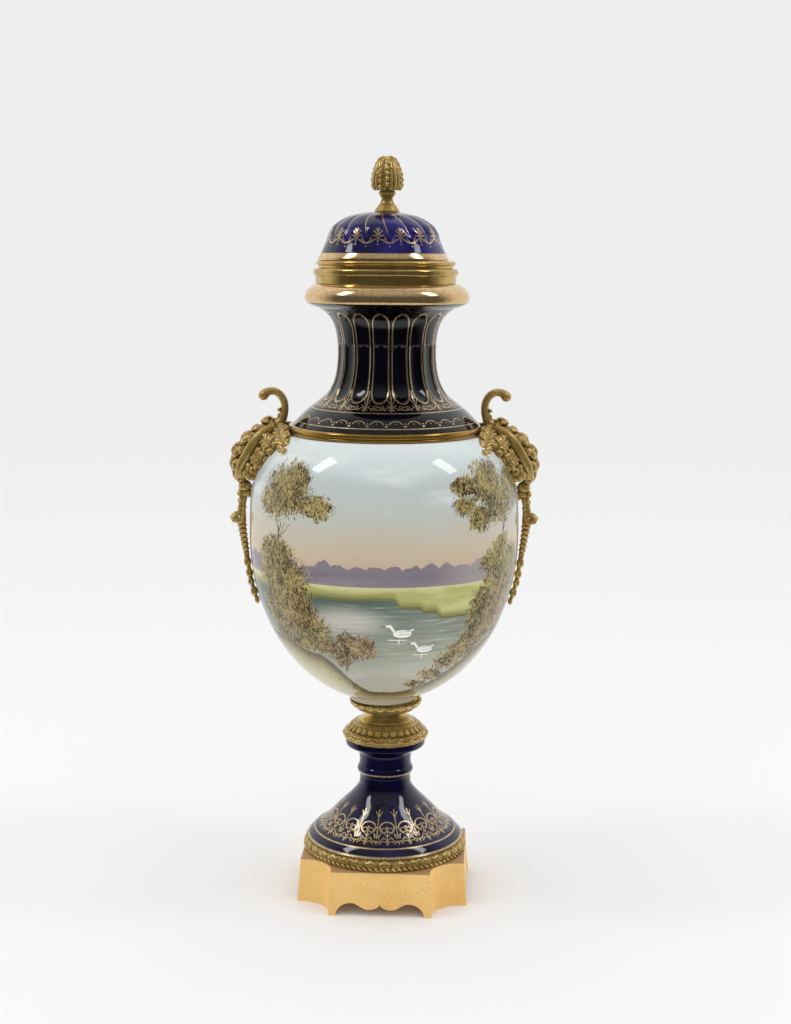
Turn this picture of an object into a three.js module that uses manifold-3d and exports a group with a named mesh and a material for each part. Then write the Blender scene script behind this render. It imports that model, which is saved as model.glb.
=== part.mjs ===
// A mantel urn: a cobalt and painted porcelain vase with a lid, on a domed foot, in gilt brass mounts.
// Millimetres, +Z up. The origin is under the middle of the vase body, level with the plinth's feet, and
// the painted front faces -Y.

import * as THREE from 'three';
import { mergeVertices } from 'three/addons/utils/BufferGeometryUtils.js';
import Module from 'manifold-3d';

const wasm = await Module();
wasm.setup();

const GAP = 0.3; // left between pieces that rest on each other

// Heights at which each piece starts, from the plinth up to the finial.
const LEVEL = {
  footRing: 33.9, foot: 42.3, knop: 119.8, dish: 134.1, body: 151.6, shoulderRing: 356.5,
  neck: 363.3, mouthCollar: 467.3, lidCollar: 478.6, lid: 484.4, finial: 519.3, top: 560,
};

const PLINTH = {
  height: LEVEL.footRing - GAP, half: 62.1, faceHalf: 37, step: 2.5, flare: 1.042, wall: 3, turn: -3.4,
  footHalf: 33.2, archHalf: 21.6, archHeight: 9.9, lobeHalf: 8.6, lobeHeight: 5, cuspHeight: 9.7,
  arcSteps: 6, apronSteps: 3,
};

// How far each piece sits to the side (X) of the vase body, as on an old urn bolted up by hand.
const OFF_CENTRE = {
  plinth: 2.2, foot_ring: 2, foot: 1.9, knop: 2, dish: 2, neck: 1.2, mouth_collar: 0.2, lid_collar: 0.2,
  lid: -1.8, finial: 0.7,
};
const PORCELAIN = { wall: 4.6, footWall: 5 };
const BELLY = { radius: 101.7, height: 282.8, depth: 131.8, roundness: 2.09, rise: 109.6, shoulder: 3.32 };
const FLUTES = { count: 17, depth: 1.3, start: 379, end: 447, turn: -6.5 };
const LID_LOBES = { count: 16, depth: 1.1, start: 500, end: 517, swirl: 14 };
const GADROONS = { count: 20, depth: 1.2, start: 128.3, end: 133.2 };
const MOUTH = { inner: 46.5, skirt: 46.9, skirtWall: 1.6, skirtDepth: 8 };
const HANDLE = {
  lugRadius: 72.7, leafThickness: 2.6, lobes: 6, lobeDepth: 0.14, lobeLift: 3, veinSlant: 0.07, beadSides: 6,
};

const FINISH = {
  cobalt: { color: 0x0c0b2e, roughness: 0.12, metalness: 0 },
  painted: { color: 0xc9d3d4, roughness: 0.15, metalness: 0 },
  gilt: { color: 0xb08a3c, roughness: 0.32, metalness: 1 },
  satinGilt: { color: 0xc9993f, roughness: 0.45, metalness: 1 },
};

// ---- shared shape helpers ----

// Moves every vertex of a geometry to where place(vertex) puts it.
function reshape(geometry, place) {
  const positions = geometry.attributes.position;
  const vertex = new THREE.Vector3();
  for (let i = 0; i < positions.count; i++) {
    vertex.fromBufferAttribute(positions, i);
    place(vertex, i);
    positions.setXYZ(i, vertex.x, vertex.y, vertex.z);
  }
  return geometry;
}

// Turns an outline of [radius, height] pairs about the upright axis. relief(angle, height, radius) is added
// to the radius of the first outerCount points; the angle runs from the front towards +X.
function turned(outline, segments, relief = null, outerCount = outline.length) {
  const points = outline.map(([radius, height]) => new THREE.Vector2(radius, height));
  const geometry = new THREE.LatheGeometry(points, segments).rotateX(Math.PI / 2);
  if (!relief) return geometry;
  return reshape(geometry, (vertex, i) => {
    const radius = Math.hypot(vertex.x, vertex.y);
    if (i % outline.length >= outerCount || radius < 1) return;
    const angle = Math.atan2(vertex.x, -vertex.y);
    const factor = 1 + relief(angle, vertex.z, radius) / radius;
    vertex.x *= factor;
    vertex.y *= factor;
  });
}

// A smooth outline through a few [radius, height] pairs, at count + 1 points.
function smooth(pairs, count) {
  const curve = new THREE.SplineCurve(pairs.map(([radius, height]) => new THREE.Vector2(radius, height)));
  return curve.getPoints(count).map((point) => [point.x, point.y]);
}

// The inner side of a wall of even thickness behind an outline, from its last point back to its first.
function innerSide(outline, wall) {
  return outline.map(([radius, height], i) => {
    const [r0, z0] = outline[Math.max(i - 1, 0)];
    const [r1, z1] = outline[Math.min(i + 1, outline.length - 1)];
    return [radius - wall * Math.hypot(r1 - r0, z1 - z0) / Math.abs(z1 - z0), height];
  }).reverse();
}

const closed = (outline) => [...outline, outline[0]];

// 1 between start and end, easing to 0 over the given margin at each end.
function window(value, start, end, margin) {
  return THREE.MathUtils.smoothstep(value, start, start + margin)
    * (1 - THREE.MathUtils.smoothstep(value, end - margin, end));
}

// Wave of the given count round the axis: 0 on the ridges, 1 in the middle of each hollow.
const hollow = (angle, count) => (1 - Math.cos(angle * count)) / 2;

function toManifold(geometry) {
  const bare = geometry.clone();
  bare.deleteAttribute('normal');
  bare.deleteAttribute('uv');
  const merged = mergeVertices(bare, 1e-4);
  return new wasm.Manifold(new wasm.Mesh({
    numProp: 3,
    vertProperties: new Float32Array(merged.attributes.position.array),
    triVerts: new Uint32Array(merged.index.array),
  }));
}

function fromManifold(manifold) {
  const { vertProperties, triVerts } = manifold.getMesh();
  const geometry = new THREE.BufferGeometry();
  geometry.setAttribute('position', new THREE.BufferAttribute(new Float32Array(vertProperties), 3));
  geometry.setIndex(Array.from(triVerts));
  geometry.computeVertexNormals();
  return geometry;
}

// Joins geometries that overlap into one solid, without the slivers that a join can leave.
function joined(geometries) {
  const whole = geometries.map(toManifold).reduce((sum, piece) => sum.add(piece));
  return fromManifold(whole.decompose().sort((a, b) => b.volume() - a.volume())[0]);
}

const cut = (geometry, tools) => fromManifold(
  tools.map(toManifold).reduce((whole, tool) => whole.subtract(tool), toManifold(geometry)));

// ---- plinth ----

// The plan of the plinth, inset by a wall: four straight faces, and at each corner a hollow quarter round
// with a small square return on either side of it.
function plinthPlan(inset) {
  const { half, faceHalf, step, arcSteps } = PLINTH;
  const centre = half - step;
  const radius = centre - faceHalf + inset;
  const lead = Math.asin(Math.max(inset - step, 0) / radius);
  const points = [];
  for (let corner = 0; corner < 4; corner++) {
    const add = (x, y) => points.push(
      new THREE.Vector2(x, y).rotateAround(new THREE.Vector2(), corner * Math.PI / 2));
    if (inset < step) add(half - inset, faceHalf - inset);
    for (let i = 0; i <= arcSteps; i++) {
      const angle = THREE.MathUtils.lerp(-Math.PI / 2 - lead, -Math.PI + lead, i / arcSteps);
      add(centre + radius * Math.cos(angle), centre + radius * Math.sin(angle));
    }
    if (inset < step) add(faceHalf - inset, half - inset);
  }
  return new THREE.Shape(points);
}

// The space under one face's apron: a steep arch beside each foot, two lobes and a cusp in the middle.
function apronOpening() {
  const { footHalf, archHalf, archHeight, lobeHalf, lobeHeight, cuspHeight, apronSteps } = PLINTH;
  const side = [];
  for (let i = 0; i <= apronSteps; i++) {
    const turn = (i / apronSteps) * Math.PI / 2;
    side.push([archHalf + (footHalf - archHalf) * Math.cos(turn), archHeight * Math.sin(turn)]);
  }
  for (let i = 1; i <= apronSteps; i++) {
    const ease = (1 - Math.cos(Math.PI * i / apronSteps)) / 2;
    side.push([
      THREE.MathUtils.lerp(archHalf, lobeHalf, i / apronSteps),
      THREE.MathUtils.lerp(archHeight, lobeHeight, ease),
    ]);
  }
  for (let i = 1; i <= apronSteps; i++) {
    const turn = (i / apronSteps) * Math.PI / 2;
    const rise = (cuspHeight - lobeHeight) * (1 - Math.cos(turn));
    side.push([lobeHalf * (1 - Math.sin(turn)), lobeHeight + rise]);
  }
  const below = -1;
  const right = [[footHalf, below], ...side];
  const left = right.slice(0, -1).reverse().map(([x, z]) => [-x, z]);
  const shape = new THREE.Shape([...right, ...left].map(([x, z]) => new THREE.Vector2(x, z)));
  const length = 3 * PLINTH.half;
  return new THREE.ExtrudeGeometry(shape, { depth: length, bevelEnabled: false })
    .rotateX(Math.PI / 2).translate(0, length / 2, 0);
}

function plinth() {
  const { height, wall, flare } = PLINTH;
  const block = new THREE.ExtrudeGeometry(plinthPlan(0), { depth: height, bevelEnabled: false });
  const inside = new THREE.ExtrudeGeometry(plinthPlan(wall), { depth: height, bevelEnabled: false })
    .translate(0, 0, -wall);
  const apron = apronOpening();
  const body = cut(block, [inside, apron, apron.clone().rotateZ(Math.PI / 2)]);
  return reshape(body, (vertex) => {
    const spread = 1 + (flare - 1) * (1 - vertex.z / height);
    vertex.x *= spread;
    vertex.y *= spread;
  });
}

// ---- foot and the mounts below the vase ----

function footRing() {
  const { footRing: bottom, foot } = LEVEL;
  const top = foot - GAP;
  const outline = [[54, bottom], [61, bottom], [62.7, bottom + 2.8], [62.5, bottom + 5.4], [60.4, top],
    [54, top]];
  const leaves = 15;
  return turned(closed(outline), leaves * 2, (angle, height) => (
    height > bottom + 1 && height < top - 1 ? 0.7 * (hollow(angle, leaves) - 0.5) : 0), 4);
}

function foot() {
  const { foot: bottom, knop } = LEVEL;
  const top = knop - GAP;
  const dome = smooth([[60.1, bottom + 1], [54.6, 49.1], [46.4, 54.8], [36.7, 65], [26.5, 75], [20.6, 82.5],
    [19.6, 88.5]], 7);
  const bead = [[19.9, 92], [21.5, 95.4], [20.1, 98.6]];
  const stem = [[19.8, 104], [21, 109.4], [24.6, 112], [29.6, 114.8], [30.6, 117], [30.4, top]];
  const cavity = innerSide(dome, PORCELAIN.footWall).filter((_, i) => i % 2 === 1);
  const roof = knop - 17;
  return turned([[cavity.at(-1)[0], bottom], [59.6, bottom], ...dome, ...bead, ...stem, [0, top], [0, roof],
    [12, roof - 3], ...cavity, [cavity.at(-1)[0], bottom]], 24);
}

// The gadrooned brass knop on top of the foot: a leafy flange and a lobed boss.
function knop() {
  const { knop: bottom, dish } = LEVEL;
  const { count, depth, start, end } = GADROONS;
  const outline = [[0, bottom], [30.2, bottom], [31.4, 121], [32.9, 123.4], [31.6, 126.4],
    [28.2, 127.8], [27.8, 129.6], [25.4, 132.2], [22.2, dish - GAP], [0, dish - GAP]];
  return turned(outline, count * 2, (angle, height) => (
    height > start && height < end ? -depth * hollow(angle, count) : 0));
}

// The polished spool and the leaf-edged dish that the vase stands in.
function dish() {
  const { dish: bottom, body } = LEVEL;
  const seat = body - GAP;
  const outline = [[0, bottom], [20.8, bottom], [20.5, 135.4], [16.6, 137.6], [14.5, 139.7], [16.4, 141.2],
    [22.6, 142.8], [26.3, 144.8], [28.5, 148.4], [28.4, 150.4], [27.2, 150.4], [26.2, 147.4],
    [23.4, seat], [0, seat]];
  const leaves = 12;
  return turned(outline, leaves * 2, (angle, height, radius) => (
    height > 145 && radius > 26.5 ? -0.9 * hollow(angle, leaves) : 0));
}

// ---- vase body ----

// Quarter outline of the belly below (drop) or above its widest height, for an offset of the surface.
function bellyOutline(inset, lowSteps, highSteps, lowest, highest) {
  const { radius, height, depth, roundness, rise, shoulder } = BELLY;
  const points = [];
  const reach = radius - inset;
  const lowEnd = Math.asin((height - lowest) / (depth - inset));
  for (let i = 0; i < lowSteps; i++) {
    const share = Math.sin(lowEnd * (1 - i / lowSteps));
    points.push([reach * Math.sqrt(1 - share ** roundness), height - (depth - inset) * share]);
  }
  for (let i = 0; i <= highSteps; i++) {
    const share = ((highest - height) / rise) * (i / highSteps) ** 0.75;
    points.push([radius * (1 - share ** shoulder) - inset * (1 + share), height + rise * share]);
  }
  return points;
}

function vaseBody() {
  const { body: bottom, shoulderRing } = LEVEL;
  const top = shoulderRing - GAP;
  const seat = [[0, bottom], [25.2, bottom], [26, bottom + 1], [26, bottom + 3.6]];
  const outer = bellyOutline(0, 8, 4, bottom + 4, top);
  const inner = bellyOutline(PORCELAIN.wall, 5, 3, bottom + 5.5, top).reverse();
  return turned([...seat, ...outer, ...inner, [0, bottom + 5]], 32);
}

// ---- shoulder, neck and mouth ----

function shoulderRing() {
  const { shoulderRing: bottom, neck } = LEVEL;
  const top = neck - GAP;
  return turned(closed([[66, bottom], [71.8, bottom], [72.4, bottom + 1.6], [71.6, bottom + 3.4],
    [72.2, bottom + 5], [71.6, top], [66, top]]), 28);
}

// How far the flutes sink the neck at a given angle and height; they end round at both ends.
function fluteDepth(angle, height) {
  const { count, depth, start, end, turn } = FLUTES;
  return -depth * hollow(angle - THREE.MathUtils.degToRad(turn) + Math.PI / count, count)
    * window(height, start, end, 5);
}

function neck() {
  const { neck: bottom, mouthCollar } = LEVEL;
  const top = mouthCollar - GAP;
  const throat = smooth([[69.8, bottom], [61.6, 372], [51.6, 380], [44, 387], [38.6, 399], [36.6, 416],
    [38.2, 433], [43.1, 443.4], [50.3, 449.3]], 8);
  const lip = [[59.2, 452.6], [61.2, 456], [59.6, 461], [53.2, top]];
  const inside = innerSide(throat, PORCELAIN.wall).filter(([, height], i) => i % 2 === 0 && height < 448);
  return turned(closed([...throat, ...lip, [MOUTH.inner, top], [MOUTH.inner, 455], ...inside]),
    FLUTES.count * 3, fluteDepth, throat.length);
}

function mouthCollar() {
  const { mouthCollar: bottom, lidCollar } = LEVEL;
  const top = lidCollar - GAP;
  const inner = MOUTH.inner + 2;
  return turned(closed([[inner, bottom], [52.2, bottom], [52.2, 473.2], [53.5, 474.2], [53.7, 476.4],
    [52.6, top], [inner, top]]), 28);
}

// ---- lid ----

// The brass rim of the lid, with a skirt that goes down inside the mouth collar.
function lidCollar() {
  const { lidCollar: bottom, lid } = LEVEL;
  const { skirt, skirtWall, skirtDepth } = MOUTH;
  const inner = skirt - skirtWall;
  return turned(closed([[inner, bottom - skirtDepth], [skirt, bottom - skirtDepth], [skirt, bottom],
    [50.1, bottom], [50.1, 480.6], [51.6, 481.2], [51.8, 482.8], [49.9, lid - GAP], [inner, lid - GAP]]), 28);
}

// The lobes of the dome, which turn a little as they climb.
function lidLobe(angle, height) {
  const { count, depth, start, end, swirl } = LID_LOBES;
  const climb = (height - start) / (end - start);
  const turn = THREE.MathUtils.degToRad(swirl) * climb;
  return -depth * hollow(angle + turn, count) * window(height, start, end + 1, 5);
}

function lid() {
  const { lid: bottom, finial } = LEVEL;
  const top = finial - GAP;
  const dome = smooth([[45.8, 490], [42.6, 497.5], [40.1, 505], [35.5, 510.8], [25.6, 516.2], [13, top]], 7);
  const outer = [[48.3, bottom], [48, 486], [46.4, 489.2], ...dome];
  const inner = smooth([[43, bottom], [41, 490], [37.8, 497.5], [34.8, 505], [29, 509.4], [16, 513.4]], 4);
  return turned([[43, bottom], ...outer, [0, top], [0, 514.4], ...inner.reverse()],
    LID_LOBES.count * 2, lidLobe, outer.length + 1);
}

// A leaf bud on a small turned foot.
function finial() {
  const { finial: bottom, top } = LEVEL;
  const leaves = 5;
  const outline = [[0, bottom], [9.2, bottom], [9.4, 520.6], [7.6, 523.2], [4.9, 526.2], [4.3, 528.8],
    [6.5, 533], [5.4, 534.8], [10.4, 535.8], [12, 540], [11, 546.7], [9.6, 552], [7, 556.4], [4.6, 558.8],
    [3, top], [0, top]];
  return turned(outline, leaves * 3, (angle, height) => (
    height > 535 && height < 559 ? -1.3 * hollow(angle + height * 0.03, leaves) : 0));
}

// ---- handles ----

// A tapering cast stem in the plane y = 0 through [x, z, half width, half depth] stations.
function stem(stations, steps, sides = 8) {
  const route = new THREE.CatmullRomCurve3(stations.map(([x, z]) => new THREE.Vector3(x, 0, z)));
  const sizes = new THREE.CatmullRomCurve3(stations.map(([, , wide, deep]) => (
    new THREE.Vector3(wide, deep, 0))));
  const rod = new THREE.CylinderGeometry(1, 1, 1, sides, steps);
  return reshape(rod, (vertex) => {
    const share = 0.5 - vertex.y;
    const centre = route.getPoint(share);
    const along = route.getPoint(Math.min(share + 0.01, 1)).sub(route.getPoint(Math.max(share - 0.01, 0)))
      .normalize();
    const size = sizes.getPoint(share);
    const across = vertex.x * size.x;
    vertex.set(centre.x + along.z * across, vertex.z * size.y, centre.z - along.x * across);
  });
}

// A rounded cast lump, such as a bead or a berry, leaning a little as the garland does.
const lump = ([radius, height, wide, deep, high]) => (
  new THREE.SphereGeometry(1, HANDLE.beadSides, HANDLE.beadSides - 2).rotateX(Math.PI / 2)
    .scale(wide, deep, high).rotateY(0.12).translate(radius, 0, height));

// The acanthus leaf that lies over the shoulder: [spine radius, spine height, edge angle, edge radius,
// edge height] rows from the top down. The edges hug the vase and the spine stands off it.
const LEAF_ROWS = [
  [86, 366.4, 6, 82, 364], [94, 360.4, 22, 80, 358], [102.6, 353.6, 31, 87.5, 348], [109.6, 345, 24, 92, 341],
  [113.4, 336.6, 17, 97, 333.4], [113.6, 327, 11, 101, 326], [109.6, 316.4, 3.4, 106.5, 317.4],
];

// The garland's bud, leaf tips, berry, knob and beads, from the leaf's point down.
const GARLAND_LUMPS = [
  [105, 316.4, 5.4, 8, 5.8], [108.4, 308, 3.8, 5.5, 2.8], [112.6, 291.6, 3.8, 5.5, 4.4],
  [103.8, 258.6, 3, 4.6, 4.7], [102.2, 248.4, 2.7, 4.2, 4], [101, 241, 2.6, 4, 3.4],
  [98.8, 233.6, 2.7, 4, 4.2], [96.2, 226.8, 2.2, 3.2, 2.9],
];

function leaf() {
  const { leafThickness, lobes, lobeDepth, lobeLift, veinSlant } = HANDLE;
  const spineLine = new THREE.CatmullRomCurve3(LEAF_ROWS.map(([radius, height]) => (
    new THREE.Vector3(radius, height, 0))));
  const edgeLine = new THREE.CatmullRomCurve3(LEAF_ROWS.map(([, , angle, radius, height]) => (
    new THREE.Vector3(radius, height, angle))));
  const at = (along, across) => {
    const spine = spineLine.getPoint(along);
    const edge = edgeLine.getPoint(along);
    const side = Math.abs(across);
    const angle = THREE.MathUtils.degToRad(edge.z) * across;
    const fall = side ** 2.4;
    const radius = THREE.MathUtils.lerp(spine.x, edge.x, fall);
    return new THREE.Vector3(
      radius * Math.cos(angle), radius * Math.sin(angle), THREE.MathUtils.lerp(spine.y, edge.y, fall));
  };
  const sheet = new THREE.BoxGeometry(1, 1, 1, 2 * lobes, 6, 1);
  return reshape(sheet, (vertex) => {
    const row = vertex.x + 0.5;
    const swell = Math.abs(Math.sin(Math.PI * lobes * row));
    const across = vertex.y * 2 * (1 - lobeDepth * (1 - swell));
    const along = row + veinSlant * Math.abs(across) * Math.sin(Math.PI * row);
    const down = at(Math.min(along + 0.02, 1), across).sub(at(Math.max(along - 0.02, 0), across));
    const over = at(along, Math.min(across + 0.04, 1)).sub(at(along, Math.max(across - 0.04, -1)));
    const outward = down.cross(over).normalize();
    vertex.copy(at(along, across).addScaledVector(outward, vertex.z > 0 ? lobeLift * swell : -leafThickness));
  });
}

function handle() {
  const curl = stem([[90.6, 380.6, 1.6, 2.4], [89.4, 383.6, 3.9, 5], [86.2, 386.4, 2.8, 4.6],
    [81.6, 386.6, 2.8, 4.4], [77.4, 382.8, 3, 4.4], [75.6, 376.6, 2.8, 4.6], [77, 369.4, 3, 5],
    [81, 363, 3.8, 5.6], [87, 360.6, 3.8, 5], [94, 358, 3, 4.4]], 14, 6);
  const lug = new THREE.BoxGeometry(12, 7, 4.4).translate(HANDLE.lugRadius + 6, 0, 360);
  const drop = stem([[110.6, 322, 3, 5], [109, 312, 3, 4.4], [107.6, 303, 3, 3.8], [108.8, 295, 3.6, 4.6],
    [108, 286, 3.4, 4.4], [106.6, 277, 2.8, 3.8], [105, 266, 2.6, 3.4], [103.4, 258, 2.2, 2.8],
    [101.8, 248, 1.8, 2.4], [100.4, 240, 1.8, 2.4], [98, 232, 1.6, 2], [96.2, 227, 1, 1.4]], 13, 6);
  return joined([leaf(), curl, lug, drop, ...GARLAND_LUMPS.map(lump)]);
}

// ---- the whole urn ----

const urn = new THREE.Group();

function addPiece(name, geometry, finish) {
  const piece = new THREE.Mesh(geometry, new THREE.MeshStandardMaterial(finish));
  piece.name = name;
  piece.position.x = OFF_CENTRE[name] ?? 0;
  urn.add(piece);
  return piece;
}

addPiece('plinth', plinth(), FINISH.satinGilt).rotation.z = THREE.MathUtils.degToRad(PLINTH.turn);
addPiece('foot_ring', footRing(), FINISH.gilt);
addPiece('foot', foot(), FINISH.cobalt);
addPiece('knop', knop(), FINISH.gilt);
addPiece('dish', dish(), FINISH.gilt);
addPiece('vase_body', vaseBody(), FINISH.painted);
addPiece('shoulder_ring', shoulderRing(), FINISH.gilt);
addPiece('neck', neck(), FINISH.cobalt);
addPiece('mouth_collar', mouthCollar(), FINISH.gilt);
addPiece('lid_collar', lidCollar(), FINISH.gilt);
addPiece('lid', lid(), FINISH.cobalt);
addPiece('finial', finial(), FINISH.gilt);
addPiece('handle_right', handle(), FINISH.gilt);
addPiece('handle_left', handle(), FINISH.gilt).rotation.z = Math.PI;

export default urn;
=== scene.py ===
import math

import bpy
import numpy as np
from mathutils import Matrix, Vector


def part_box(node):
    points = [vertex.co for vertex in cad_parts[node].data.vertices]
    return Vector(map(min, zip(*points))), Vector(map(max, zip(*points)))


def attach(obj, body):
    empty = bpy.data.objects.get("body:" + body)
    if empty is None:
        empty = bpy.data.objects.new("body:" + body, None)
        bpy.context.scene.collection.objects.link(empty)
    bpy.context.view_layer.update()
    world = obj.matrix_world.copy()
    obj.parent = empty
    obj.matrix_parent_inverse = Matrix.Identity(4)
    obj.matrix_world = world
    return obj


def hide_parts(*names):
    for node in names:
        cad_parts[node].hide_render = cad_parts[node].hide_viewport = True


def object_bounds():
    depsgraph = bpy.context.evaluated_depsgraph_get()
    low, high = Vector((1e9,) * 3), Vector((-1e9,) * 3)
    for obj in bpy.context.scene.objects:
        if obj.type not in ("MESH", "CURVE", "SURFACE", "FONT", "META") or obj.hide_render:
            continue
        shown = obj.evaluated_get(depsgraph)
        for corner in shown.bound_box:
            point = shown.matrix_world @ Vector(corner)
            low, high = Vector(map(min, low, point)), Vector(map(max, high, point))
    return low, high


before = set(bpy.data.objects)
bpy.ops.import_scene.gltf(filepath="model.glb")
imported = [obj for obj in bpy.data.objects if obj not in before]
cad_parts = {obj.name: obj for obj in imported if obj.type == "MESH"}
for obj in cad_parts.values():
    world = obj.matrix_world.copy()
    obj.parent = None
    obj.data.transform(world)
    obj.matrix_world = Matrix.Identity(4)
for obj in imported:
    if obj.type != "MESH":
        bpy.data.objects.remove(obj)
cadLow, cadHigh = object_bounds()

mm = 0.001
chaseGap = 0.45  # between rings of faces where a casting is chased, in millimetres


def clearSelection():
    bpy.ops.object.select_all(action="DESELECT")


def finish(piece, material, *nodes, slot, smoothAngle=40):
    bpy.context.view_layer.objects.active = piece
    clearSelection()
    piece.select_set(True)
    bpy.ops.object.shade_smooth_by_angle(angle=math.radians(smoothAngle))
    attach(piece, "root")
    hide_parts(*nodes)
    piece.data.materials.append(material)
    print("made", piece.name, len(piece.data.polygons), "faces")
    return piece


def seat(node):  # the middle of a node across the urn, and its lowest height, in millimetres
    low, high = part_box(node)
    return (low.x + high.x) / 2 / mm, low.z / mm


def curveThrough(points, steps):  # a smooth line through a few points
    ends = [points[0], *points, points[-1]]
    line = []
    for before, start, end, after in zip(ends, ends[1:], ends[2:], ends[3:]):
        for i in range(steps):
            t = i / steps
            line.append(tuple(
                b + 0.5 * t * (c - a + t * (2 * a - 5 * b + 4 * c - d + t * (3 * (b - c) + d - a)))
                for a, b, c, d in zip(before, start, end, after)))
    return line + [tuple(points[-1])]


def evenly(outline, gap):  # cuts long stretches of an outline into short ones
    line = [outline[0]]
    for start, end in zip(outline, outline[1:]):
        pieces = max(1, round(math.dist(start, end) / gap))
        line += [tuple(a + (b - a) * i / pieces for a, b in zip(start, end)) for i in range(1, pieces + 1)]
    return line


def trace(name, spots):  # vertices extruded from spot to spot; edit mode stays on
    clearSelection()
    bpy.ops.mesh.primitive_plane_add(size=mm)
    piece = bpy.context.object
    piece.name = piece.data.name = name
    bpy.ops.object.mode_set(mode="EDIT")
    bpy.ops.mesh.merge(type="CENTER")
    bpy.ops.transform.translate(value=[a * mm for a in spots[0]])
    for here, there in zip(spots, spots[1:]):
        step = [(b - a) * mm for a, b in zip(here, there)]
        bpy.ops.mesh.extrude_vertices_move(TRANSFORM_OT_translate={"value": step})
    return piece


def drawOutline(name, outline):  # an outline of (radius, height) pairs
    return trace(name, [(radius, 0, height) for radius, height in outline])


def turn(name, node, outline, steps, closed=False):  # spins an outline that is measured from the node's seat
    centre, bottom = seat(node)
    line = [(radius, bottom + height) for radius, height in outline]
    piece = drawOutline(name, line + line[:1] if closed else line)
    bpy.ops.mesh.select_all(action="SELECT")
    bpy.ops.mesh.spin(steps=steps, angle=math.tau, center=(0, 0, 0), axis=(0, 0, 1))
    bpy.ops.mesh.select_all(action="SELECT")
    bpy.ops.mesh.remove_doubles(threshold=mm * 0.002)
    bpy.ops.mesh.normals_make_consistent(inside=False)
    bpy.ops.transform.translate(value=(centre * mm, 0, 0))
    bpy.ops.object.mode_set(mode="OBJECT")
    return piece


def chase(piece, node, relief):  # raises a turned piece by relief(angle, rise, radius), in degrees and mm
    centre, bottom = seat(node)
    flat = np.empty(len(piece.data.vertices) * 3)
    piece.data.vertices.foreach_get("co", flat)
    place = flat.reshape(-1, 3) / mm - (centre, 0, 0)
    radius = np.hypot(place[:, 0], place[:, 1])
    angle = np.degrees(np.arctan2(place[:, 0], -place[:, 1]))
    grow = 1 + relief(angle, place[:, 2] - bottom, radius) / np.maximum(radius, 1)
    place[:, 0] *= grow
    place[:, 1] *= grow
    piece.data.vertices.foreach_set("co", ((place + (centre, 0, 0)) * mm).ravel())
    piece.data.update()


def wrapped(value, period):  # the distance to the nearest repeat
    return (value / period + 0.5) % 1 * period - period / 2


def ease(value, low, high):
    share = np.clip((value - low) / (high - low), 0, 1)
    return share * share * (3 - 2 * share)


class Wire:  # one output of a node, so that nodes can be written as sums
    def __init__(self, paint, socket):
        self.paint, self.socket = paint, socket

    def math(self, operation, *others, clamp=False):
        return self.paint.node("Math", {"operation": operation, "use_clamp": clamp},
                               dict(enumerate((self, *others))))

    def vector(self, operation, *others, output=0):
        sockets = dict(enumerate((self, *others)))
        return self.paint.node("VectorMath", {"operation": operation}, sockets, output)

    def __add__(self, other):
        return self.math("ADD", other)

    def __sub__(self, other):
        return self.math("SUBTRACT", other)

    def __rsub__(self, other):
        return self * -1 + other

    def __mul__(self, other):
        return self.math("MULTIPLY", other)

    def __truediv__(self, other):
        return self.math("DIVIDE", other)

    def __abs__(self):
        return self.math("ABSOLUTE")

    __radd__, __rmul__ = __add__, __mul__

    def least(self, other):
        return self.math("MINIMUM", other)

    def most(self, other):
        return self.math("MAXIMUM", other)

    def between(self, low, high):  # 0 at low, easing to 1 at high
        return self.paint.node("MapRange", {"interpolation_type": "SMOOTHSTEP"}, {0: self, 1: low, 2: high})

    def under(self, limit, soft):  # 1 below the limit, 0 above it
        return self.between(limit + soft, limit - soft)

    def near(self, value, width, soft):  # a line where the value is met
        return abs(self - value).under(width / 2, soft)

    def also(self, output):  # another output of the same node
        return Wire(self.paint, self.socket.node.outputs[output])

    def wrapped(self, period, shift=0):  # the distance to the nearest repeat
        share = ((self + shift) * (1 / period) + 0.5).math("FRACT")
        return (share - 0.5) * period


class Nodes:  # one node tree
    def __init__(self, owner):
        owner.use_nodes = True
        self.tree = owner.node_tree

    def node(self, kind, settings, sockets, output=0):
        node = self.tree.nodes.new("ShaderNode" + kind)
        for key, value in settings.items():
            if key == "stops":
                self.fillRamp(node.color_ramp, value)
            else:
                setattr(node, key, value)
        for key, value in sockets.items():
            self.join(node.inputs[key], value)
        return Wire(self, node.outputs[output])

    def join(self, socket, value):
        if isinstance(value, Wire):
            self.tree.links.new(value.socket, socket)
        else:
            socket.default_value = tint(value) if isinstance(value, str) else value

    @staticmethod
    def fillRamp(ramp, stops):
        while len(ramp.elements) < len(stops):
            ramp.elements.new(1)
        for element, (position, colour) in zip(ramp.elements, stops):
            element.position, element.color = position, tint(colour)

    def mix(self, factor, first, second):
        return self.node("Mix", {"data_type": "RGBA"}, {0: factor, 6: first, 7: second}, 2)


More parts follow.
